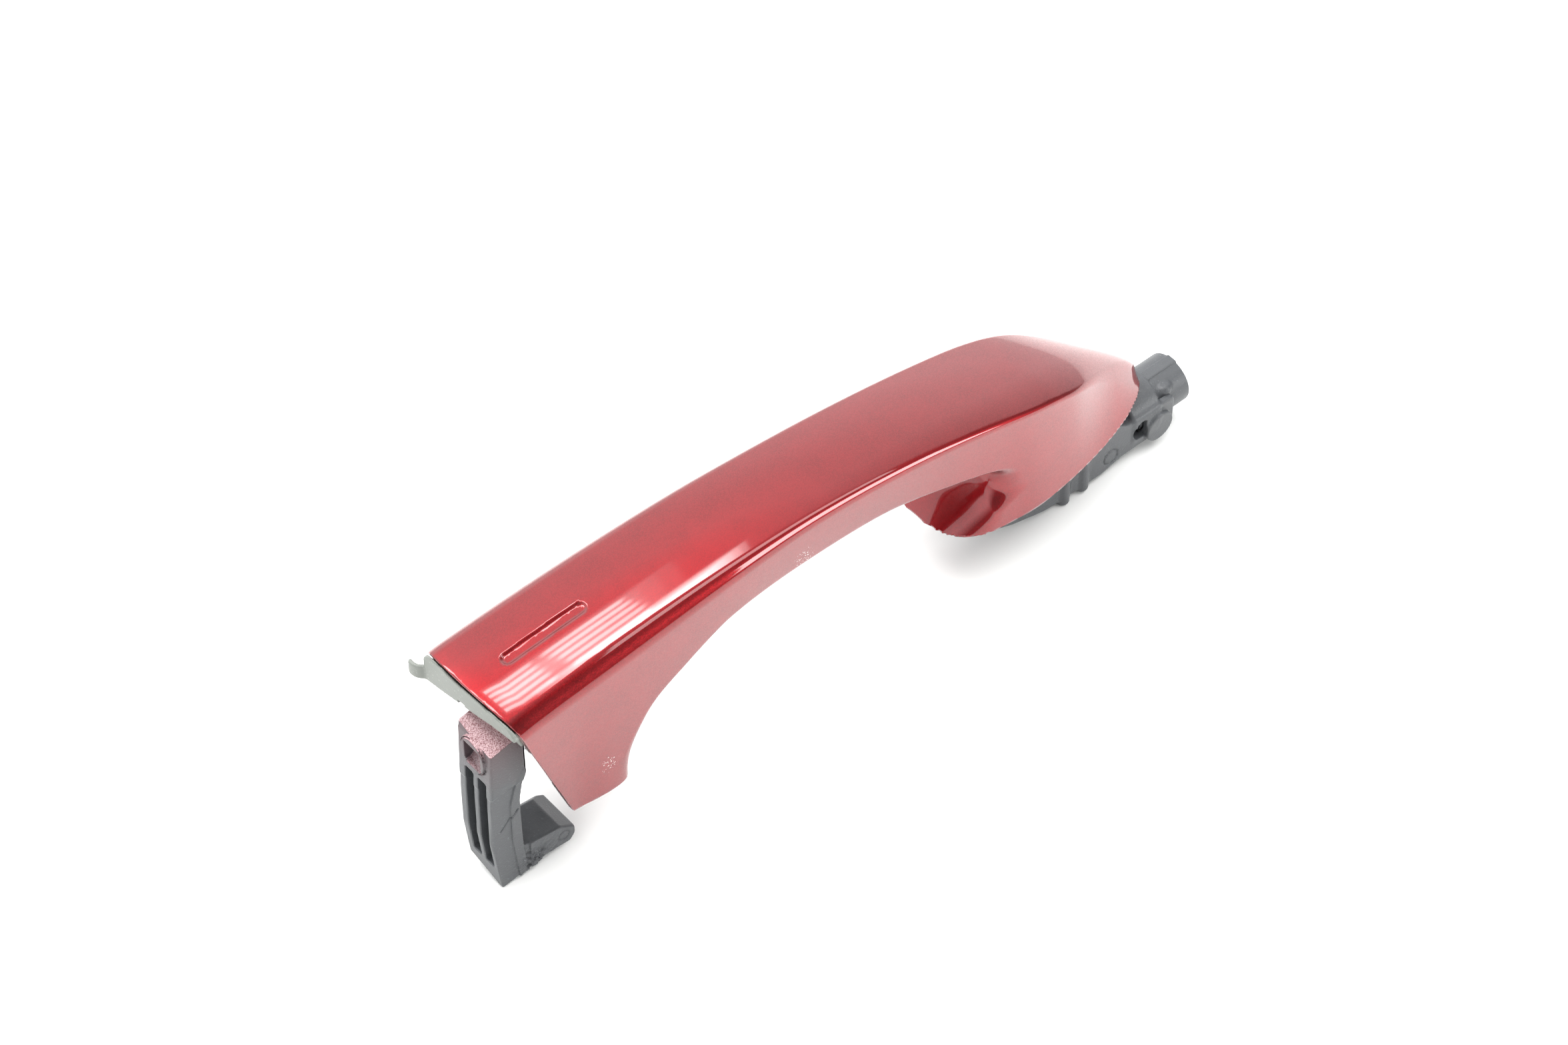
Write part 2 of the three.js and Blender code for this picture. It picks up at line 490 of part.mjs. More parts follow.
handle.add(named('lock_lead', lockLead(), BLACK));
handle.add(named('unlock_lead', unlockLead(), BLACK));
handle.add(named('winding_lead_near', windingLead(-1), COPPER));
handle.add(named('winding_lead_far', windingLead(1), COPPER));

const bay = new THREE.Group();
bay.position.set(BAY.x, 0, BAY.z);
bay.rotation.y = THREE.MathUtils.degToRad(BAY.tilt);
handle.add(bay);
bay.add(named('electronics_tray', tray(), BLACK));
bay.add(named('antenna_bobbin', bobbin(), BLACK));
bay.add(named('ferrite_core', toSolid(box(-32, 0, -2.5, 2.5, 3.1, 4.3)), CERAMIC));
bay.add(named('antenna_winding', winding(), COPPER));
bay.add(named('circuit_board', toSolid(box(5, 32.5, -7.4, 7.4, 2.5, 3.7)), BOARD));
bay.add(named('controller_chip', toSolid(box(13, 20, -3.5, 3.5, 4, 5.2)), BLACK));
bay.add(named('sensor_chip', toSolid(box(22.5, 26.5, -2.5, 2.5, 4, 5)), BLACK));
bay.add(named('capacitor_1', toSolid(box(8, 11, -5.6, -3.2, 4, 5.6)), CERAMIC));
bay.add(named('capacitor_2', toSolid(box(8, 11, 3.2, 5.6, 4, 5.6)), CERAMIC));
bay.add(named('foam_pad', toSolid(box(-12, 12, -5, 5, -1.0, -0.3)), FOAM));

const part = new THREE.Group();
part.add(handle);
export default part;
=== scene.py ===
"""Looks of an exterior car door pull handle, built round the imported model.

The painted grip, the arms and the connector are smooth closed surfaces of implicit forms: a form is a
function of x, y, z in millimetres that is negative inside. Inside the forms x starts at the hook end
of the grip; place() moves them into the row frame, in metres.
"""
import json
import math

import bpy
import numpy as np
from mathutils import Matrix, Vector


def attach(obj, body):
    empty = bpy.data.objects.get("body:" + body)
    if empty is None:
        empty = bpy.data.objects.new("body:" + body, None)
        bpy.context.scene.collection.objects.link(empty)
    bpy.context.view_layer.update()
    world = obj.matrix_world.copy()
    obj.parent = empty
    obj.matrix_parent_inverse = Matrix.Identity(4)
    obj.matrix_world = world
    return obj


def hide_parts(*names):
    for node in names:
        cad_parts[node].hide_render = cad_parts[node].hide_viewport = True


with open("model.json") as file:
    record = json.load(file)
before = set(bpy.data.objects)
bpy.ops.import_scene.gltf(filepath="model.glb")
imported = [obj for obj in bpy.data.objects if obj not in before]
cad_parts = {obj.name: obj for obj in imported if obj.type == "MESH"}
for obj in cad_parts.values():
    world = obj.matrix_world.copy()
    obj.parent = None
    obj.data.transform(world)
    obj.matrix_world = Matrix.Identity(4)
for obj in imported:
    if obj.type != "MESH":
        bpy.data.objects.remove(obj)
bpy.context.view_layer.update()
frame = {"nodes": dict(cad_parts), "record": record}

MM = 0.001
SEAT_X = 24.0        # the row's origin, along the grip
TIP_X = 207.6        # the pointed tip at the door
WALL = 2.4           # of the painted cover
GAP = 0.3            # between pieces
CROWN = 1.59         # how much the top rises in its middle
END_LEAN = 0.345     # slant of the hook end

GROOVE = {"x0": 12.5, "x1": 33.0, "half": 1.45, "deep": 0.5, "lip": 1.1}
STRIP = {"x0": 52.0, "x1": 138.0, "half": 9.0}
HOOK_LEG = {"half": 16.7, "across": 0.6, "round": 2.0}
PIVOT_LEG = {"half": 17.6, "across": 0.36, "round": 2.6}
ARM = {"back": 5.9, "near": -10.3, "far": 1.5, "tip": -20.4, "peak": 34.0, "corner": 1.1}
ARM_SCREW = {"x": 10.5, "y": -4.4, "bore": 1.7, "head": 2.9}
ARM_SLOTS = ((-8.3, -5.2), (-3.6, -0.6))
BOSS = {"z": 26.2, "half_y": 4.6, "half_z": 5.9, "pocket_y": 2.9, "low": 3.9, "high": 3.3}
BLOCK = {"near": -8.5, "far": 7.5}
PIVOT = {"x": 208.6, "z": -13.4, "radius": 4.4, "proud": 1.4}
PLUG = {"y": -0.5, "z": -11.0, "half_y": 7.0, "half_z": 6.5, "back": 204.0, "mouth": 220.88, "wall": 1.4}
SCREW = {"x": 160.0, "y": 11.2, "bore": 1.8, "boss": 2.9, "low": 4.8, "head": 2.9}


# ---- curves ------------------------------------------------------------------------------------
class Curve:
    """A function of one variable, sampled finely and softened, with its slope. Flat beyond both ends."""

    STEP = 0.05

    def __init__(self, function, low, high, soften=0.0, keep_from=None):
        self.x = np.arange(low, high, self.STEP)
        value = function(self.x)
        if soften:
            reach = int(3 * soften / self.STEP)
            bell = np.exp(-0.5 * (np.arange(-reach, reach + 1) * self.STEP / soften) ** 2)
            soft = np.convolve(np.pad(value, reach, mode="edge"), bell / bell.sum(), mode="valid")
            if keep_from is not None:
                soft = soft + (value - soft) * smooth((self.x - keep_from) / 10)
            value = soft
        self.value = value
        self.rate = np.gradient(value, self.STEP)

    def __call__(self, x):
        return np.interp(x, self.x, self.value)

    def slope(self, x):
        return np.interp(x, self.x, self.rate)


def smooth(t):
    t = np.clip(t, 0, 1)
    return t * t * (3 - 2 * t)


def knots(*points):
    """Smooth function through (x, value) points, flat beyond both ends."""
    xs, vs = np.array(points, float).T
    tangent = np.gradient(vs, xs)
    tangent[1:-1] = (vs[2:] - vs[:-2]) / (xs[2:] - xs[:-2])

    def value(x):
        x = np.clip(x, xs[0], xs[-1])
        i = np.clip(np.searchsorted(xs, x, side="right") - 1, 0, len(xs) - 2)
        span = xs[i + 1] - xs[i]
        t = (x - xs[i]) / span
        blend = ((2 * t ** 3 - 3 * t ** 2 + 1) * vs[i] + (t ** 3 - 2 * t ** 2 + t) * tangent[i] * span
                 + (3 * t ** 2 - 2 * t ** 3) * vs[i + 1] + (t ** 3 - t ** 2) * tangent[i + 1] * span)
        return blend

    return value


REACH = (-10, 212)   # range of x that the curves cover
TIP_FROM = 158.0     # where the outline starts to close towards the tip
CREST_X = 65.0       # where the creases are highest


def crest(x):
    """Height of the creases along the grip: two parabolas that share their highest point."""
    return 45.9 - np.where(x < CREST_X, 0.00076, 0.00154) * (x - CREST_X) ** 2


def end_fade(x):
    """Brings the crest down to the door at the tip."""
    return (1 - np.clip((x - 165) / (TIP_X - 165), 0, 1) ** 2.2) ** 0.62


def tip_half(x):
    """Half width of the pointed tip at the door."""
    return 17.6 * (1 - np.clip((x - TIP_FROM) / (TIP_X - TIP_FROM), 0, 1) ** 1.5) ** 0.48


def tip_share(x):
    """Crease width over door width towards the tip."""
    return 0.8 - 0.2 * smooth((x - 172) / 22)


skirt_half = knots((0, 16.2), (17, 15.5), (27, 16.7), (50, 14.6), (80, 9), (115, 8), (140, 15.2),
                   (TIP_FROM, 17.6))
crease_half = knots((0, 16.7), (36, 16), (70, 14.8), (92, 13.9), (120, 13.7), (TIP_FROM, 14.1))
crease_round = knots((0, 4.3), (36, 4.2), (70, 3.2), (92, 2.4), (143, 1.5), (170, 1.1), (182, 1.2),
                     (190, 2.0), (196, 3.0), (201, 3.2), (204, 2.5), (206, 1.6), (208, 0.4))
lip_round = knots((0, 0.6), (40, 0.7), (56, 2.0), (118, 2.2), (134, 0.7), (175, 0.6))


def skirt(x):
    """Half width of the grip at its lowest edge."""
    return np.where(x < TIP_FROM, skirt_half(x), tip_half(x))


def crease(x):
    """Half width of the grip at its creases."""
    return np.where(x < TIP_FROM, crease_half(x), tip_share(x) * tip_half(x))


TOP = Curve(lambda x: crest(x) * end_fade(x), *REACH, 1.5, keep_from=180)
SKIRT = Curve(skirt, *REACH, 2.5, keep_from=170)
CREASE = Curve(crease, *REACH, 2.5, keep_from=170)
ROUND = Curve(crease_round, *REACH, 1.5)
LIP = Curve(lip_round, *REACH, 3)
UNDER = Curve(knots((49, 25), (58, 27.8), (66, 29.5), (77, 29.9), (95, 28.9), (112, 27.7), (128, 25.1),
                    (136, 23.8), (142, 22.6)), 30, 160, 2)
# finger side of each leg, x over z, at its outer edges and in its middle
HOOK_EDGE = Curve(knots((-6, 30.3), (0, 30.3), (4, 30.4), (8, 31), (12, 32.6), (16, 35.2), (20, 38.4),
                        (22.5, 42), (25, 49), (27, 54.3), (30, 61)), -6, 40, 0.9)
HOOK_MIDDLE = Curve(knots((-6, 37.5), (0, 37.5), (4, 37.7), (9, 38.8), (14, 41), (18, 43.6), (21, 47),
                          (24.3, 54), (26.5, 58), (30, 66)), -6, 40, 0.9)
PIVOT_EDGE = Curve(knots((-6, 158.3), (0, 158), (5, 157.2), (10, 155), (15, 151.3), (18, 148.8),
                         (21, 144.6), (23.8, 136), (25.6, 130), (29, 120)), -6, 40, 0.9)
PIVOT_MIDDLE = Curve(knots((-6, 129.5), (0, 134.5), (3, 138), (7, 143.2), (12, 147.6), (16, 148.6),
                           (20, 145.8), (23.5, 138), (26, 130), (29, 122)), -6, 40, 0.9)


# ---- form tools --------------------------------------------------------------------------------
def meet(a, b, r):
    """Where a and b overlap, with the edge between them rounded by r."""
    return np.minimum(np.maximum(a, b), -r) + np.hypot(np.maximum(a + r, 0), np.maximum(b + r, 0))


def join(a, b, r):
    """a and b together, with the inner edge between them rounded by r."""
    return -meet(-a, -b, r)


def cut(a, b, r):
    """a without b."""
    return meet(a, -b, r)


def blend_max(a, b, r):
    """The larger of a and b, blended over a range of r."""
    h = np.maximum(r - np.abs(a - b), 0) / r
    return np.maximum(a, b) + h * h * r / 4


def slab(v, low, high):
    """Negative between low and high."""
    return np.maximum(low - v, v - high)


def block(x, y, z, xs, ys, zs, r=0.3):
    """Box between pairs of limits, with rounded edges."""
    parts = []
    for v, (low, high) in ((x, xs), (y, ys), (z, zs)):
        parts.append(np.abs(v - (low + high) / 2) - (high - low) / 2 + r)
    outside = np.sqrt(sum(np.maximum(p, 0) ** 2 for p in parts))
    return outside + np.minimum(np.maximum(np.maximum(parts[0], parts[1]), parts[2]), 0) - r


def rod(u, v, w, centre, radius, limits, r=0.3):
    """Round bar along w, centred on (u, v)."""
    return meet(np.hypot(u - centre[0], v - centre[1]) - radius, slab(w, *limits), r)


def soft_corners(corners, r, count=4):
    """Closed outline with each corner swapped for a short arc of about radius r."""
    points = []
    total = len(corners)
    for i in range(total):
        here = np.array(corners[i], float)
        before = np.array(corners[i - 1], float) - here
        after = np.array(corners[(i + 1) % total], float) - here
        reach = min(r, 0.45 * np.linalg.norm(before), 0.45 * np.linalg.norm(after))
        start = here + before / np.linalg.norm(before) * reach
        end = here + after / np.linalg.norm(after) * reach
        for t in np.linspace(0, 1, count):
            points.append((1 - t) ** 2 * start + 2 * t * (1 - t) * here + t * t * end)
    return points


def outline(u, v, corners):
    """Signed distance in a plane to a closed outline."""
    nearest = 1e9
    sign = 1.0
    for i, (bu, bv) in enumerate(corners):
        au, av = corners[i - 1]
        eu, ev = bu - au, bv - av
        wu, wv = u - au, v - av
        t = np.clip((wu * eu + wv * ev) / (eu * eu + ev * ev + 1e-12), 0, 1)
        nearest = np.minimum(nearest, (wu - eu * t) ** 2 + (wv - ev * t) ** 2)
        above, below = v >= av, v < bv
        left = eu * wv > ev * wu
        crossing = (above & below & left) | (~above & ~below & ~left)
        sign = sign * np.where(crossing, -1.0, 1.0)
    return sign * np.sqrt(nearest)


WAVES = ((1, 0.6, -0.3), (-0.5, 1, 0.7), (0.4, -0.8, 1), (0.9, 0.5, 0.8), (-0.7, 0.2, 1.1))


def ripple(x, y, z, size, seed=0.0):
    """Smooth irregular bumps between about -1 and 1, of the given size."""
    total = 0.0
    for i, (a, b, c) in enumerate(WAVES):
        phase = 1.7 * i + seed
        total = total + np.sin((a * x + b * y + c * z) * (2.2 + 0.9 * i) / size + phase)
    return total / 3.2


def gradient(form, points, reach=0.04):
    """Slope of a form at points."""
    x, y, z = points.T
    return np.stack([form(x + reach, y, z) - form(x - reach, y, z),
                     form(x, y + reach, z) - form(x, y - reach, z),
                     form(x, y, z + reach) - form(x, y, z - reach)], axis=1) / (2 * reach)


def settle(form, points, farthest, rounds):
    """Moves points onto the form's surface."""
    for _ in range(rounds):
        slope = gradient(form, points)
        move = -slope * (form(*points.T) / np.maximum((slope ** 2).sum(1), 0.05))[:, None]
        length = np.linalg.norm(move, axis=1, keepdims=True)
        points = points + move * np.minimum(1, farthest / np.maximum(length, 1e-9))
    return points


def surface(form, low, high, step):
    """Even quad mesh of a form's surface: (points, quads)."""
    axes = [np.arange(a - step, b + 2 * step, step) for a, b in zip(low, high)]
    shape = [len(a) for a in axes]
    grid = np.meshgrid(*axes, indexing="ij", sparse=True)
    value = np.ascontiguousarray(np.broadcast_to(form(*grid), shape)).astype(np.float32)
    inside = value < 0
    cells = [n - 1 for n in shape]
    total = np.zeros(cells + [3], np.float32)
    count = np.zeros(cells, np.int32)

    def corner(array, offset):
        return array[tuple(slice(o, o + n) for o, n in zip(offset, cells))]

    # each cell's point is the mean of where the surface crosses its edges
    for axis in range(3):
        unit = np.eye(3, dtype=int)[axis]
        others = [i for i in range(3) if i != axis]
        for a, b in ((0, 0), (0, 1), (1, 0), (1, 1)):
            start = np.zeros(3, int)
            start[others[0]], start[others[1]] = a, b
            mixed = corner(inside, start) != corner(inside, start + unit)
            f0, f1 = corner(value, start)[mixed], corner(value, start + unit)[mixed]
            total[mixed] += start + (f0 / (f0 - f1))[:, None] * unit
            count += mixed
    active = count > 0
    number = np.full(cells, -1, np.int64)
    number[active] = np.arange(active.sum())
    origin = np.array([a[0] for a in axes])
    points = origin + step * (np.argwhere(active) + total[active] / count[active][:, None])
    # one quad round each grid edge that crosses the surface
    quads = []
    for axis in range(3):
        u, v = (axis + 1) % 3, (axis + 2) % 3
        lower = [slice(None)] * 3
        upper = [slice(None)] * 3
        lower[axis], upper[axis] = slice(0, -1), slice(1, None)
        first, second = inside[tuple(lower)], inside[tuple(upper)]
        edge = np.argwhere(first != second)
        outward = first[tuple(edge.T)]
        ring = []
        for du, dv in ((1, 1), (0, 1), (0, 0), (1, 0)):
            cell = edge.copy()
            cell[:, u] -= du
            cell[:, v] -= dv
            ring.append(number[tuple(cell.T)])
        quad = np.stack(ring, axis=1)
        quads.append(np.where(outward[:, None], quad, quad[:, ::-1]))
    quads = np.concatenate(quads)
    points = settle(form, points, step, 2)
    # evens the points out along the surface
    a, b = quads.ravel(), np.roll(quads, 1, axis=1).ravel()
    degree = np.bincount(a, minlength=len(points)) + np.bincount(b, minlength=len(points))
    count = len(points)
    for _ in range(3):
        sums = [np.bincount(a, points[b, i], count) + np.bincount(b, points[a, i], count) for i in range(3)]
        around = np.stack(sums, axis=1) / degree[:, None]
        points = settle(form, points + 0.5 * (around - points), 0.5 * step, 2)
    return points, quads


def place(name, form, low, high, step, node, slot):
    """Makes the piece of a form, which stands for a CAD node."""
    points, quads = surface(form, low, high, step * (1))
    normals = gradient(form, points)
    normals /= np.maximum(np.linalg.norm(normals, axis=1, keepdims=True), 1e-9)
    mesh = bpy.data.meshes.new(name)
    mesh.from_pydata(((points - (SEAT_X, 0, 0)) * MM).tolist(), [], quads.tolist())
    mesh.polygons.foreach_set("use_smooth", np.ones(len(quads), bool))
    mesh.normals_split_custom_set_from_vertices(normals.tolist())
    piece = bpy.data.objects.new(name, mesh)
    bpy.context.scene.collection.objects.link(piece)
    mesh.materials.append(MATERIALS[slot])
    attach(piece, "root")
    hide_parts(node)


# ---- the painted grip --------------------------------------------------------------------------
def groove_depth(x, y):
    """How far the touch groove sinks the top face: a long round-ended channel with soft lips."""
    away = np.hypot(x - np.clip(x, GROOVE["x0"], GROOVE["x1"]), y)
    return GROOVE["deep"] * (1 - smooth((away - GROOVE["half"] + GROOVE["lip"] / 2) / GROOVE["lip"]))


def end_set_back(y):
    """How far the hook end is set back across its top: it swells a little in the middle, and is skewed."""
    return -0.5 * (1 - np.clip(y / 16, -1, 1) ** 2) - 0.035 * (y + 10)


def arch(x, y, z):
    """Outer form of the grip without its finger opening."""
    across = np.abs(y)
    top, side, skirt = TOP(x), CREASE(x), SKIRT(x)
    low = np.clip(1 - z / np.maximum(top, 1), 0, 1) ** 1.5
    wall = (across - side - (skirt - side) * low) / np.hypot(1, CREASE.slope(x))
    crown = CROWN * (1 - np.minimum(across / np.maximum(side, 0.5), 1.3) ** 2)
    lead_in = 0.55 * np.clip(1 - (x - 0.8 - end_set_back(y)) / 7, 0, 1.4) ** 2
    roof = (z - top - crown + lead_in + groove_depth(x, y)) / np.hypot(1, TOP.slope(x))
    r = np.minimum(np.minimum(ROUND(x), 0.7 * top), 0.8 * side)
    return meet(wall, roof, r)


def leg_face(edge, middle, leg, y, z):
    """x of a leg's finger side and how steep it is there: full in the middle, round to its edges."""
    def face(across, height):
        e = edge(height)
        nose = (1 - np.clip(across / leg["half"], 0, 1) ** (1 / leg["across"])) ** (1 / leg["round"])
        return e + (middle(height) - e) * nose

    across = np.abs(y)
    here = face(across, z)
    dy = (face(across + 0.1, z) - here) / 0.1
    dz = (face(across, z + 0.1) - here) / 0.1
    return here, np.sqrt(1 + dy * dy + dz * dz)


def under_side(x, y):
    """Height of the grip's finger side."""
    return UNDER(x) - 1.2 * (1 - np.clip(np.abs(y) / 15, 0, 1) ** 2)


def finger_opening(x, y, z):
    hook, hook_steep = leg_face(HOOK_EDGE, HOOK_MIDDLE, HOOK_LEG, y, z)
    pivot, pivot_steep = leg_face(PIVOT_EDGE, PIVOT_MIDDLE, PIVOT_LEG, y, z)
    legs = np.maximum((hook - x) / hook_steep, (x - pivot) / pivot_steep)
    return blend_max(legs, (z - under_side(x, y)) / np.hypot(1, UNDER.slope(x)), 2.0)


def grip_body(x, y, z):
    """Outer form of the grip, with a softer lip where the pivot leg leaves the arch."""
    soft = 4.5 * smooth((z - 5) / 6) * (1 - smooth((z - 15) / 7)) * smooth((x - 128) / 9)
    return meet(arch(x, y, z), -finger_opening(x, y, z), LIP(x) + soft)


def end_plane(x, y, z, back=0.0):
    """Positive beyond the slanted hook end."""
    set_back = end_set_back(y) * np.clip((z - 30) / 8, 0, 1)
    return (2.3 + set_back + (42 - z) * END_LEAN + back - x) / math.hypot(1, END_LEAN)


def hollow(x, y, z):
    """Room inside the cover for the parts that close it."""
    return grip_body(x, y, z) + WALL + GAP


def strip_window(x, y, z, grow, depth):
    """Opening of the finger side, which the strip closes."""
    sides = np.maximum(slab(x, STRIP["x0"] - grow, STRIP["x1"] + grow), np.abs(y) - STRIP["half"] - grow)
    return np.maximum(sides, slab(z - under_side(x, y), -5, depth))


def cover_form(x, y, z):
    body = grip_body(x, y, z)
    shell = meet(body, -(body + WALL), 0.3)
    shell = cut(shell, strip_window(x, y, z, GAP / 2, WALL + 2), 0.25)
    for side in (-1, 1):
        centre = (SCREW["x"], side * SCREW["y"])
        boss = rod(x, y, z, centre, SCREW["boss"], (SCREW["low"], 27))
        bore = rod(x, y, z, centre, SCREW["bore"], (0, 18))
        inner = np.maximum(boss, body + 0.8)
        shell = cut(join(shell, inner, 0.6), bore, 0.2)
    shell = meet(shell, -z, 0.4)
    return meet(shell, end_plane(x, y, z), 0.35)


def strip_form(x, y, z):
    body = grip_body(x, y, z)
    shell = meet(body, -(body + WALL), 0.3)
    return meet(shell, strip_window(x, y, z, -GAP / 2, WALL + 1), 0.25)


# ---- hook end ----------------------------------------------------------------------------------
STRIP_EDGE = Curve(knots((-16, 39.2), (-9, 38.6), (0, 36.6), (3, 35.9), (15.9, 32.4)), -22, 26, 1)


def arm_bore(x, y, z, radius, limits):
    return rod(x, y, z, (ARM_SCREW["x"], ARM_SCREW["y"]), radius, limits)


def lug_form(x, y, z):
    """Curled locating lug on the far corner of the hook end."""
    u, v = x - 2.4, y - 18.7
    curl = meet(np.abs(np.hypot(u, v) - 3.2) - 0.5, slab(z, 32.6, 37.0), 0.35)
    open_side = np.maximum(np.maximum(u - 0.35, v - 1.05), 0.9 * v + 0.45 * u - 2.2)
    return meet(curl, open_side, 0.35)


def end_plate_form(x, y, z):
    inside = hollow(x, y, z)
    # plate across the end, shelf with the arm's screw, thicker top
    front = end_plane(x, y, z, 2.2)
    plate = np.maximum(np.maximum(front, -(front + 1.9)), slab(z, 4, 35))
    shelf = block(x, y, z, (5, 38), (-8, 8), (34.4, 36.2))
    upper = np.maximum(block(x, y, z, (0, 6.8), (-20, 20), (33, 40.6)), end_plane(x, y, z, -0.6))
    plate = meet(join(join(plate, shelf, 0.5), upper, 0.4), inside, 0.3)
    # proud strip along the edge
    edge = 1.3 + 0.9 * end_set_back(y)
    bar = np.maximum(slab(z, 30, 43.6), np.abs(y) - 15.9)
    strip = meet(np.maximum(edge - x, -end_plane(x, y, z, -0.25)), bar, 0.3)
    strip = meet(strip, arch(x, y, z) + 0.35, 0.3)
    strip = meet(strip, np.minimum(STRIP_EDGE(y), 40.4) - z, 0.3)
    form = join(plate, strip, 0.3)
    # slot of the arm, notch and screw bore
    arm_slot = block(x, y, z, (-6, 20), (ARM["near"] - GAP, ARM["far"] + GAP), (10, 34.2), 0.4)
    notch = block(x, y, z, (-2, 6), (1.2, 3.2), (30, 37.0), 0.3)
    form = cut(cut(form, arm_slot, 0.3), notch, 0.2)
    form = cut(form, arm_bore(x, y, z, ARM_SCREW["bore"], (30, 40)), 0.2)
    return join(form, lug_form(x, y, z), 0.4)


ARM_SIDE = soft_corners([
    (-0.5, 35), (-1.3, 31), (-2.2, 10), (-2.4, -3), (-1.5, -13), (-0.7, -20.4), (6.3, -19.6), (9.9, -19.2),
    (13.5, -18.2), (19.2, -18.6), (20.6, -16.8), (20.6, -14.4), (16.5, -11.5), (6.3, -9.9), (5.9, -6),
    (5.8, 9), (6.7, 14), (8.2, 18.6), (15.5, 20.4), (15.5, 35)], 0.5)
ARM_RIB = soft_corners([
    (5.95, -9.5), (5.9, -6), (5.8, 9), (6.7, 14), (8.2, 18.6), (7.2, 19.2), (4.6, 14.6), (3.1, 9),
    (2.9, -4), (3.6, -12), (4.4, -21), (7.4, -21), (6.6, -14)], 1.2)


def hook_arm_form(x, y, z):
    near, far = ARM["near"], ARM["far"]
    middle = (near + far) / 2
    side = outline(x, z, ARM_SIDE)
    # shaft, the raised rib along the back of its near face, the head and the toe
    shaft = meet(side, slab(y, near + 0.5, far), 0.2)
    rib = meet(meet(outline(x, z, ARM_RIB), slab(y, near, far), 0.25), side, 0.2)
    head = meet(side, np.maximum(slab(y, near, far), 14.5 + 0.12 * (x + 2) - z), 0.25)
    toe = meet(side, np.maximum(slab(y, near, far), 7.6 - x), 0.3)
    arm = join(join(join(shaft, rib, 0.2), head, 0.5), toe, 0.4)
    near_face = y < near + 1.2
    # a scratch on the near face
    scratch = np.hypot(0.72 * (x - 2.6) - 0.69 * (z - 3.5), np.maximum(np.abs(x - 2.6) - 2.4, 0))
    arm = arm + 0.4 * np.exp(-(scratch / 0.16) ** 2) * near_face
    # bevels: the near edge of the end face, the toe's far corner and the slanted sole
    roof = (z - 33 - 0.2 * (x + 0.5) - 0.21 * (y - far)) / 1.04
    corner = (-(x + 2.3) - (y - near) + ARM["corner"] - 0.07 * np.maximum(z, 0)) / math.sqrt(2)
    arm = meet(arm, corner, 0.2)
    toe_corner = (z + 10.9 + (y - far) + 0.157 * (x - 6.3)) / 1.42
    arm = np.where(x > 8, meet(arm, toe_corner, 0.2), arm)
    tilt = math.radians(18)
    sole = (ARM["tip"] - 0.3 - z + (y - near) * math.tan(tilt)) * math.cos(tilt)
    arm = meet(arm, sole, 0.4)
    # the long slots, open towards the hook end
    for slot_y in ARM_SLOTS:
        slot = block(x, y, z, (-8, ARM["back"] - 2.6), slot_y, (-13, 19), 0.7)
        arm = cut(arm, slot, 0.35)
    # the boss ring with a fine groove, and the pocket in it with its ramp
    across, height = y - middle, z - BOSS["z"]
    ring = (np.hypot(across / BOSS["half_y"], height / BOSS["half_z"]) - 1) * 5.2
    arm = join(arm, meet(ring, slab(x, -2.35, 3), 0.2), 0.15)
    arm = meet(arm, np.maximum(roof, z - ARM["peak"]), 0.2)
    arm = cut(arm, np.maximum(np.abs(ring + 0.35) - 0.14, x + 1.9), 0.1)
    pocket = block(x, across, height, (-8, 4.4), (-BOSS["pocket_y"], BOSS["pocket_y"]),
                   (-BOSS["low"], BOSS["high"]), 0.4)
    ramp = (x + 2.0 - (height + BOSS["low"]) * 0.75 - (across + BOSS["pocket_y"]) * 0.25) * 0.78
    arm = cut(arm, np.maximum(pocket, ramp), 0.2)
    arm = cut(arm, arm_bore(x, y, z, ARM_SCREW["bore"], (15, 40)), 0.2)
    arm = cut(arm, arm_bore(x, y, z, ARM_SCREW["head"], (15, 23)), 0.2)
    # a sunk ring mark on the toe and the chewed place between shaft and toe
    mark = np.hypot(x - 17.2, z + 15.2)
    arm = arm + 0.3 * np.exp(-((mark - 1.5) / 0.2) ** 2) * near_face
    chewed = np.exp(-(((x - 9.2) / 3.6) ** 2 + ((z + 16.4) / 3.0) ** 2 + ((y - near) / 3.2) ** 2))
    return arm + chewed * (0.45 + 0.75 * ripple(x, y, z, 1.6) + 0.3 * ripple(x, y, z, 0.7, 2.0))


def foot_form(x, y, z):
    """Floor of the hook-end leg with a T-shaped stiffener."""
    plate = meet(hollow(x, y, z), np.maximum(slab(z, 0, 3), slab(x, 20, 40)), 0.3)
    wall = block(x, y, z, (24, 26), (-10, 10), (2, 9))
    rib = block(x, y, z, (24, 31), (-1, 1), (2, 9))
    return join(plate, join(wall, rib, 0.4), 0.4)


# ---- pivot end ---------------------------------------------------------------------------------
BLADE = soft_corners([
    (150, 2), (150, -11), (160, -15.4), (171, -18.6), (190, -19.2), (197, -17.4), (213, -17.4), (214.5, -16),
    (214.5, -7), (199, -7), (193, -3), (190, -0.4), (190, 2)], 1.6)


def plug_oval(y, z, grow=0.0):
    """Section of the plug shroud, grown by a margin."""
    reach = np.hypot((y - PLUG["y"]) / (PLUG["half_y"] + grow), (z - PLUG["z"]) / (PLUG["half_z"] + grow))
    return (reach - 1) * (6.6 + grow)


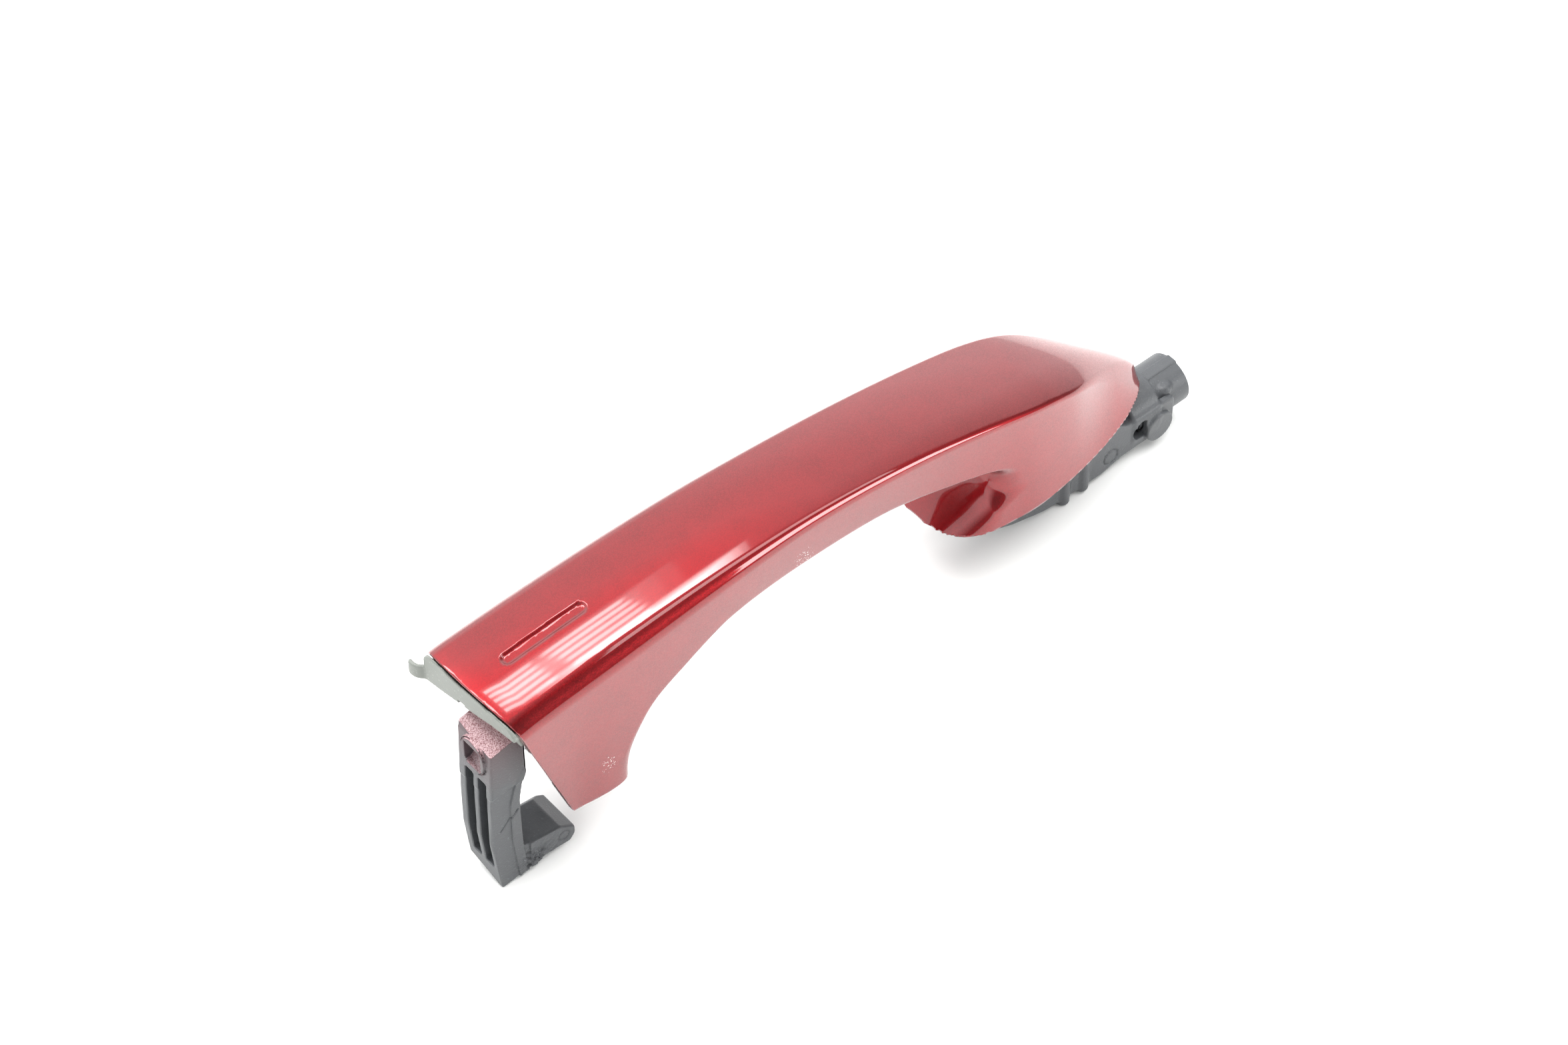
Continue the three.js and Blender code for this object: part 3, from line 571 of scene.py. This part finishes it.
def pivot_arm_form(x, y, z):
    near, far = BLOCK["near"], BLOCK["far"]
    # flange inside the leg and the blade under it
    flange = meet(hollow(x, y, z), np.maximum(slab(z, 0, 4.5), slab(x, 130, 205)), 0.3)
    arm = meet(outline(x, z, BLADE), slab(y, near, far), 0.6)
    arm = join(flange, arm, 0.8)
    # upright ribs
    for rib_x, low in ((177.6, -20.8), (184.0, -20.4)):
        for rib_y in (near + 1, far - 1):
            rib = np.hypot(x - rib_x, y - rib_y) - 1.9
            arm = join(arm, meet(rib, slab(z, low, 1), 1.2), 0.5)
    # pivot lobe, proud on both sides
    lobe = np.hypot(x - PIVOT["x"], z - PIVOT["z"]) - PIVOT["radius"]
    lobe = meet(lobe, slab(y, near - PIVOT["proud"], far + PIVOT["proud"]), 0.45)
    arm = join(arm, lobe, 0.3)
    # collar round the plug, round pocket, seat of the plug and way for the leads
    oval = plug_oval(y, z)
    collar = meet(oval - 1.7, slab(x, 200.5, 208.6 + 0.25 * (z - PLUG["z"])), 0.7)
    arm = join(arm, collar, 1.2)
    pocket = meet(np.hypot(x - 203.2, z + 11.4) - 2.9, y - (near + 2.2), 0.3)
    arm = cut(arm, np.maximum(pocket, x - 204.4), 0.3)
    arm = cut(arm, np.maximum(oval - GAP, PLUG["back"] - GAP - x), 0.2)
    arm = cut(arm, block(x, y, z, (156, 210), (-4.4, 3.4), (-14, -8)), 0.2)
    arm = cut(arm, block(x, y, z, (156, 168), (-4.4, 3.4), (-14, 10)), 0.2)
    # the two screws
    for side in (-1, 1):
        centre = (SCREW["x"], side * SCREW["y"])
        arm = cut(arm, rod(x, y, z, centre, SCREW["bore"], (-3, 8)), 0.2)
        arm = cut(arm, rod(x, y, z, centre, SCREW["head"], (-3, 2.6)), 0.2)
    # a sunk ring mark
    mark = np.hypot(x - 193, z + 14.5)
    return arm + 0.35 * np.exp(-((mark - 2.3) / 0.24) ** 2) * (y < near + 1.2)


def plug_form(x, y, z):
    """Oval shroud, open at both ends, with a key rib on top and a latch bump on its near shoulder."""
    tube = meet(plug_oval(y, z), slab(x, PLUG["back"], PLUG["mouth"]), 0.45)
    across, height = y - PLUG["y"], z - PLUG["z"] - PLUG["half_z"]
    key = block(x, across, height, (208, PLUG["mouth"]), (-1.5, 1.5), (-0.8, 0.35), 0.25)
    bump = (np.sqrt(((x - 213.6) / 2.0) ** 2 + ((y + 5.6) / 1.6) ** 2 + ((z + 6.6) / 1.5) ** 2) - 1) * 1.6
    tube = join(join(tube, key, 0.3), bump, 0.9)
    bore = plug_oval(y, z, -PLUG["wall"])
    tube = cut(tube, np.maximum(bore, 211 - x), 0.35)
    tube = cut(tube, np.maximum(bore, x - 206.5), 0.2)
    return cut(tube, block(x, y, z, (204, 213), (-4.6, 3.6), (-14.2, -7.8)), 0.2)


# ---- materials ---------------------------------------------------------------------------------
class Look:
    """A procedural material round one Principled shader."""

    def __init__(self, name, **values):
        self.material = bpy.data.materials.new(name)
        self.material.use_nodes = True
        self.tree = self.material.node_tree
        self.shader = self.tree.nodes["Principled BSDF"]
        for key, value in values.items():
            self.shader.inputs[key.replace("_", " ")].default_value = value
        self.coords = self.node("ShaderNodeTexCoord").outputs["Object"]

    def node(self, kind, inputs=None, **settings):
        made = self.tree.nodes.new(kind)
        for key, value in settings.items():
            setattr(made, key, value)
        for key, value in (inputs or {}).items():
            if isinstance(value, bpy.types.NodeSocket):
                self.tree.links.new(value, made.inputs[key])
            else:
                made.inputs[key].default_value = value
        return made

    def link(self, output, socket):
        self.tree.links.new(output, self.shader.inputs[socket])

    def noise(self, scale, detail=4.0, roughness=0.55, vector=None):
        return self.node("ShaderNodeTexNoise", {"Vector": vector or self.coords, "Scale": scale,
                                                "Detail": detail, "Roughness": roughness}).outputs["Fac"]

    def cells(self, scale, output="Color"):
        return self.node("ShaderNodeTexVoronoi", {"Vector": self.coords, "Scale": scale}).outputs[output]

    def spread(self, value, low, high, out_low=0.0, out_high=1.0):
        return self.node("ShaderNodeMapRange", {"Value": value, "From Min": low, "From Max": high,
                                                "To Min": out_low, "To Max": out_high}).outputs["Result"]

    def math(self, operation, a, b=0.0):
        return self.node("ShaderNodeMath", {0: a, 1: b}, operation=operation).outputs[0]

    def vector(self, operation, inputs, output=0):
        return self.node("ShaderNodeVectorMath", inputs, operation=operation).outputs[output]

    def mix_colour(self, factor, a, b):
        """Blend of two colours; the node's colour sockets are told apart by index."""
        made = self.tree.nodes.new("ShaderNodeMix")
        made.data_type = "RGBA"
        for index, value in ((0, factor), (6, a), (7, b)):
            if isinstance(value, bpy.types.NodeSocket):
                self.tree.links.new(value, made.inputs[index])
            else:
                made.inputs[index].default_value = value
        return made.outputs[2]

    def bump(self, height, strength, distance=0.0002):
        made = self.node("ShaderNodeBump", {"Height": height, "Strength": strength, "Distance": distance})
        self.link(made.outputs["Normal"], "Normal")


def tone(r, g, b):
    return (r, g, b, 1.0)


def near_spot(look, centre, radius):
    """1 at a point of the row frame, falling to 0 at the radius."""
    away = look.vector("DISTANCE", {0: look.coords, 1: centre}, "Value")
    return look.spread(away, radius, 0.0)


def paint_look():
    """Red metallic paint: tilted flakes under a clear coat, with two chipped spots."""
    look = Look("paint", Metallic=0.9, Roughness=0.38, Coat_Weight=1.0, Coat_Roughness=0.05, Coat_IOR=1.6)
    flakes = look.cells(5200)
    grey = look.node("ShaderNodeSeparateColor", {"Color": flakes}).outputs["Red"]
    cloud = look.noise(160, 3)
    base = look.mix_colour(grey, tone(0.165, 0.0022, 0.0045), tone(0.25, 0.0048, 0.0075))
    base = look.mix_colour(look.spread(cloud, 0.35, 0.65, 0.0, 0.25), base, tone(0.29, 0.0075, 0.011))
    spots = look.math("MAXIMUM", near_spot(look, (0.0028, -0.0165, 0.0105), 0.0038),
                      near_spot(look, (0.064, -0.0125, 0.0335), 0.0045))
    chips = look.math("MULTIPLY", spots, look.spread(look.noise(2200, 2), 0.62, 0.67))
    chips = look.spread(chips, 0.18, 0.30)
    look.link(look.mix_colour(chips, base, tone(0.75, 0.68, 0.66)), "Base Color")
    tilt = look.vector("SUBTRACT", {0: flakes, 1: (0.5, 0.5, 0.5)})
    tilt = look.vector("SCALE", {0: tilt, "Scale": 0.07})
    normal = look.node("ShaderNodeNewGeometry").outputs["Normal"]
    tilted = look.vector("ADD", {0: normal, 1: tilt})
    look.link(look.vector("NORMALIZE", {0: tilted}), "Normal")
    return look.material


def moulded_look(name, dark, light, roughness, grain, strength, overspray_and_top_light=False):
    """Moulded plastic and the like. For the arms an option turns them dark red towards their top from
    sprayed paint, and makes their upward faces pale pink: partly sprayed paint, partly painted light from
    above.
    """
    look = Look(name, Roughness=roughness, Specular_IOR_Level=0.5)
    cloud = look.noise(90, 5)
    speck = look.noise(grain, 3)
    base = look.mix_colour(cloud, dark, light)
    pale = tone(*(min(1, 2.2 * c) for c in light[:3]))
    base = look.mix_colour(look.spread(speck, 0.62, 0.75, 0.0, 0.5), base, pale)
    if overspray_and_top_light:
        height = look.node("ShaderNodeSeparateXYZ", {"Vector": look.coords}).outputs["Z"]
        normal = look.node("ShaderNodeNewGeometry").outputs["Normal"]
        upward = look.node("ShaderNodeSeparateXYZ", {"Vector": normal}).outputs["Z"]
        edge = look.math("ADD", height, look.spread(look.noise(260, 4), 0, 1, -0.004, 0.004))
        base = look.mix_colour(look.spread(edge, 0.017, 0.030, 0.0, 0.6), base, tone(0.075, 0.026, 0.032))
        # pale pink specks on upward faces high on the arm: partly sprayed paint, partly painted light from
        # above
        dust_and_top_light = look.mix_colour(look.spread(look.noise(3300, 3), 0.36, 0.6), tone(0.24, 0.09, 0.1),
                               tone(0.62, 0.42, 0.44))
        # mask of upward faces high on the arm, where the pale pink painted light from above goes
        dust_and_top_light_mask = look.math("MULTIPLY", look.spread(upward, 0.3, 0.75), look.spread(edge, 0.019, 0.026))
        base = look.mix_colour(dust_and_top_light_mask, base, dust_and_top_light)
    look.link(base, "Base Color")
    look.link(look.spread(cloud, 0.2, 0.8, roughness - 0.08, roughness + 0.1), "Roughness")
    look.bump(look.math("ADD", speck, look.math("MULTIPLY", cloud, 1.5)), strength)
    return look.material


def metal_look(name, colour, roughness):
    look = Look(name, Metallic=1.0, Roughness=roughness)
    streak = look.noise(900, 3)
    look.link(look.mix_colour(streak, tone(*(0.75 * c for c in colour)), tone(*colour)), "Base Color")
    look.link(look.spread(streak, 0.3, 0.7, roughness - 0.08, roughness + 0.12), "Roughness")
    look.bump(streak, 0.15, 0.00005)
    return look.material


MOULDED = {
    # name: dark and light tone, roughness, grain, bump strength
    "arm_plastic": ((0.045, 0.048, 0.052), (0.085, 0.09, 0.096), 0.4, 2200, 0.35),
    "end_plastic": ((0.155, 0.167, 0.15), (0.228, 0.24, 0.217), 0.45, 1500, 0.2),
    "inner_plastic": ((0.018, 0.018, 0.02), (0.035, 0.035, 0.038), 0.5, 1800, 0.2),
    "wire_insulation": ((0.015, 0.015, 0.016), (0.035, 0.035, 0.037), 0.4, 1200, 0.1),
    "board": ((0.02, 0.12, 0.05), (0.04, 0.2, 0.09), 0.3, 900, 0.1),
    "ceramic": ((0.07, 0.065, 0.06), (0.13, 0.12, 0.11), 0.6, 2000, 0.2),
    "foam": ((0.1, 0.1, 0.105), (0.2, 0.2, 0.21), 0.85, 1300, 0.8),
}
MATERIALS = {"paint": paint_look()}
for name, (dark, light, *grain) in MOULDED.items():
    MATERIALS[name] = moulded_look(name, tone(*dark), tone(*light), *grain, overspray_and_top_light=name == "arm_plastic")
MATERIALS["screw_steel"] = metal_look("screw_steel", (0.62, 0.63, 0.64), 0.3)
MATERIALS["copper"] = metal_look("copper", (0.72, 0.4, 0.22), 0.3)

# ---- pieces ------------------------------------------------------------------------------------
# CAD node: piece, form, the box it lies in, mesh step and material
PIECES = {
    "outer_cover": ("painted_cover", cover_form, (-1, -18, 0), (208, 18, 47.8), 0.55, "paint"),
    "grip_inner_shell": ("finger_side_strip", strip_form, (51, -9.5, 20), (139, 9.5, 36), 0.55, "paint"),
    "end_plate": ("end_closer", end_plate_form, (-2, -16.5, 3), (39, 23, 44.5), 0.4, "end_plastic"),
    "hook_arm": ("hooked_arm", hook_arm_form, (-3, -11, -21.5), (21.5, 2, 34.4), 0.33, "arm_plastic"),
    "hook_foot_insert": ("foot_floor", foot_form, (19, -15, -0.3), (40, 15, 9.5), 0.5, "inner_plastic"),
    "pivot_arm": ("pivot_block", pivot_arm_form, (129, -15, -21.2), (215.5, 15, 5), 0.45, "arm_plastic"),
    "connector_shell": ("plug_shroud", plug_form, (203.5, -8, -18), (221.5, 7.2, -3.5), 0.35, "arm_plastic"),
}
for node, (name, form, low, high, step, slot) in PIECES.items():
    place(name, form, low, high, step, node, slot)

slots = {s["node"]: s["material_slot"] for s in frame["record"]["subparts"]}
for node, piece in frame["nodes"].items():
    piece.data.materials.clear()
    piece.data.materials.append(MATERIALS[slots[node]])

# ---- camera and floor --------------------------------------------------------------------------
FLOOR_Z = -0.0209
TARGET = Vector((0.085428, 0.01896, 0.0))
TOWARDS = Vector((0.41746, 0.48878, -0.76604))
DISTANCE = 1.052127

lens = bpy.data.cameras.new("view")
lens.lens = 100
lens.sensor_width = 36
camera = bpy.data.objects.new("view", lens)
bpy.context.scene.collection.objects.link(camera)
camera.location = TARGET - TOWARDS * DISTANCE
camera.rotation_euler = TOWARDS.to_track_quat("-Z", "Y").to_euler()
bpy.context.scene.camera = camera
bpy.context.scene.view_settings.view_transform = "Standard"

bpy.ops.mesh.primitive_plane_add(size=6, location=(0, 0, FLOOR_Z))
floor = bpy.context.active_object
floor.name = "pale_floor"
pale = Look("pale_floor", Roughness=0.55, Specular_IOR_Level=0.3)
pale.link(pale.mix_colour(pale.noise(3, 2), tone(0.86, 0.87, 0.855), tone(0.9, 0.9, 0.885)), "Base Color")
floor.data.materials.append(pale.material)


# ---- light -------------------------------------------------------------------------------------
GRIP_TOP = Vector((0, 0, 0.045))
FAR = 4.0
BAR_WIDTH = 0.085
BAR_RADIANCE = 9
# the window's bars: share of the bar's direction along the grip, and its length
BARS = ((0.125, 0.85), (0.295, 0.36))


def softbox(name, direction, distance, size, power):
    """Area light in a direction from the grip's hook end, facing it, with its first side along x."""
    light = bpy.data.lights.new(name, "AREA")
    light.shape = "RECTANGLE"
    light.size, light.size_y = size
    light.energy = power
    lamp = bpy.data.objects.new(name, light)
    bpy.context.scene.collection.objects.link(lamp)
    towards = Vector(direction).normalized()
    across = towards.cross(Vector((1, 0, 0))).normalized()
    lamp.matrix_world = Matrix((across.cross(towards), across, towards)).transposed().to_4x4()
    lamp.location = GRIP_TOP + towards * distance
    lamp.visible_camera = False
    return lamp


def pane(name, direction, distance, size, radiance):
    """Softbox of a given brightness."""
    softbox(name, direction, distance, size, math.pi * size[0] * size[1] * radiance)


def glow(name, direction, size, radiance, layers=7):
    """Nested panes that add up to a bright patch with a soft fall-off round it."""
    for i in range(layers):
        share = 1 - 0.75 * i / layers
        pane(name, direction, FAR + 0.01 * i, (size[0] * share, size[1] * share), radiance / layers)


for lamp in (softbox("key", (0.1, -0.2, 1.0), 1.8, (1.4, 1.4), 27),
             softbox("side_fill", (0.6, -0.5, 0.9), 0.7, (0.5, 0.5), 0.6)):
    lamp.visible_glossy = False
softbox("top_glow", (0.5, -0.25, 0.83), FAR, (1.8, 1.2), 30)
softbox("low_box", (0.585, -0.75, 0.33), FAR, (1.2, 1.6), 66)
softbox("end_window", (-0.2, 0.5, 0.9), FAR, (1.2, 2.0), 80)
glow("window_glow", (0.19, 0.345, 0.9), (1.6, 0.85), 5)
glow("pane_glow", (0.335, 0.215, 0.89), (1.1, 0.5), 22)
for i in range(5):
    for along, length in BARS:
        pane("window_bar", (along, 0.265 + 0.040 * i, 0.9), FAR, (length, BAR_WIDTH), BAR_RADIANCE)

# ---- room --------------------------------------------------------------------------------------
BRIGHTEST = 2.1
# height in the sky and how bright the room is there
LEVELS = ((0.0, 1.3), (0.12, 1.5), (0.3, 1.9), (0.5, 1.85), (0.66, 1.6), (0.766, 1.5), (0.83, 1.1),
          (0.89, 0.65))
DARK_TOWARDS = (0.45, -0.89, 0)
DARK_SHARE = 0.12

world = bpy.data.worlds.new("room")
bpy.context.scene.world = world
world.use_nodes = True
nodes, links = world.node_tree.nodes, world.node_tree.links


def room_node(kind, inputs, **settings):
    made = nodes.new(kind)
    for key, value in settings.items():
        setattr(made, key, value)
    for key, value in inputs.items():
        if isinstance(value, bpy.types.NodeSocket):
            links.new(value, made.inputs[key])
        else:
            made.inputs[key].default_value = value
    return made


sky = nodes.new("ShaderNodeTexCoord").outputs["Generated"]
height = room_node("ShaderNodeSeparateXYZ", {"Vector": sky}).outputs["Z"]
ramp = room_node("ShaderNodeValToRGB", {"Fac": height})
while len(ramp.color_ramp.elements) < len(LEVELS):
    ramp.color_ramp.elements.new(0.5)
for stop, (position, level) in zip(ramp.color_ramp.elements, LEVELS):
    stop.position = position
    stop.color = (level / BRIGHTEST, level / BRIGHTEST, level / BRIGHTEST * 1.01, 1)
turn = room_node("ShaderNodeVectorMath", {0: sky, 1: DARK_TOWARDS}, operation="DOT_PRODUCT")
dark_side = room_node("ShaderNodeMapRange", {
    "Value": turn.outputs["Value"], "From Min": 0.02, "From Max": 0.42,
    "To Min": BRIGHTEST, "To Max": DARK_SHARE * BRIGHTEST})
links.new(ramp.outputs["Color"], nodes["Background"].inputs["Color"])
links.new(dark_side.outputs["Result"], nodes["Background"].inputs["Strength"])
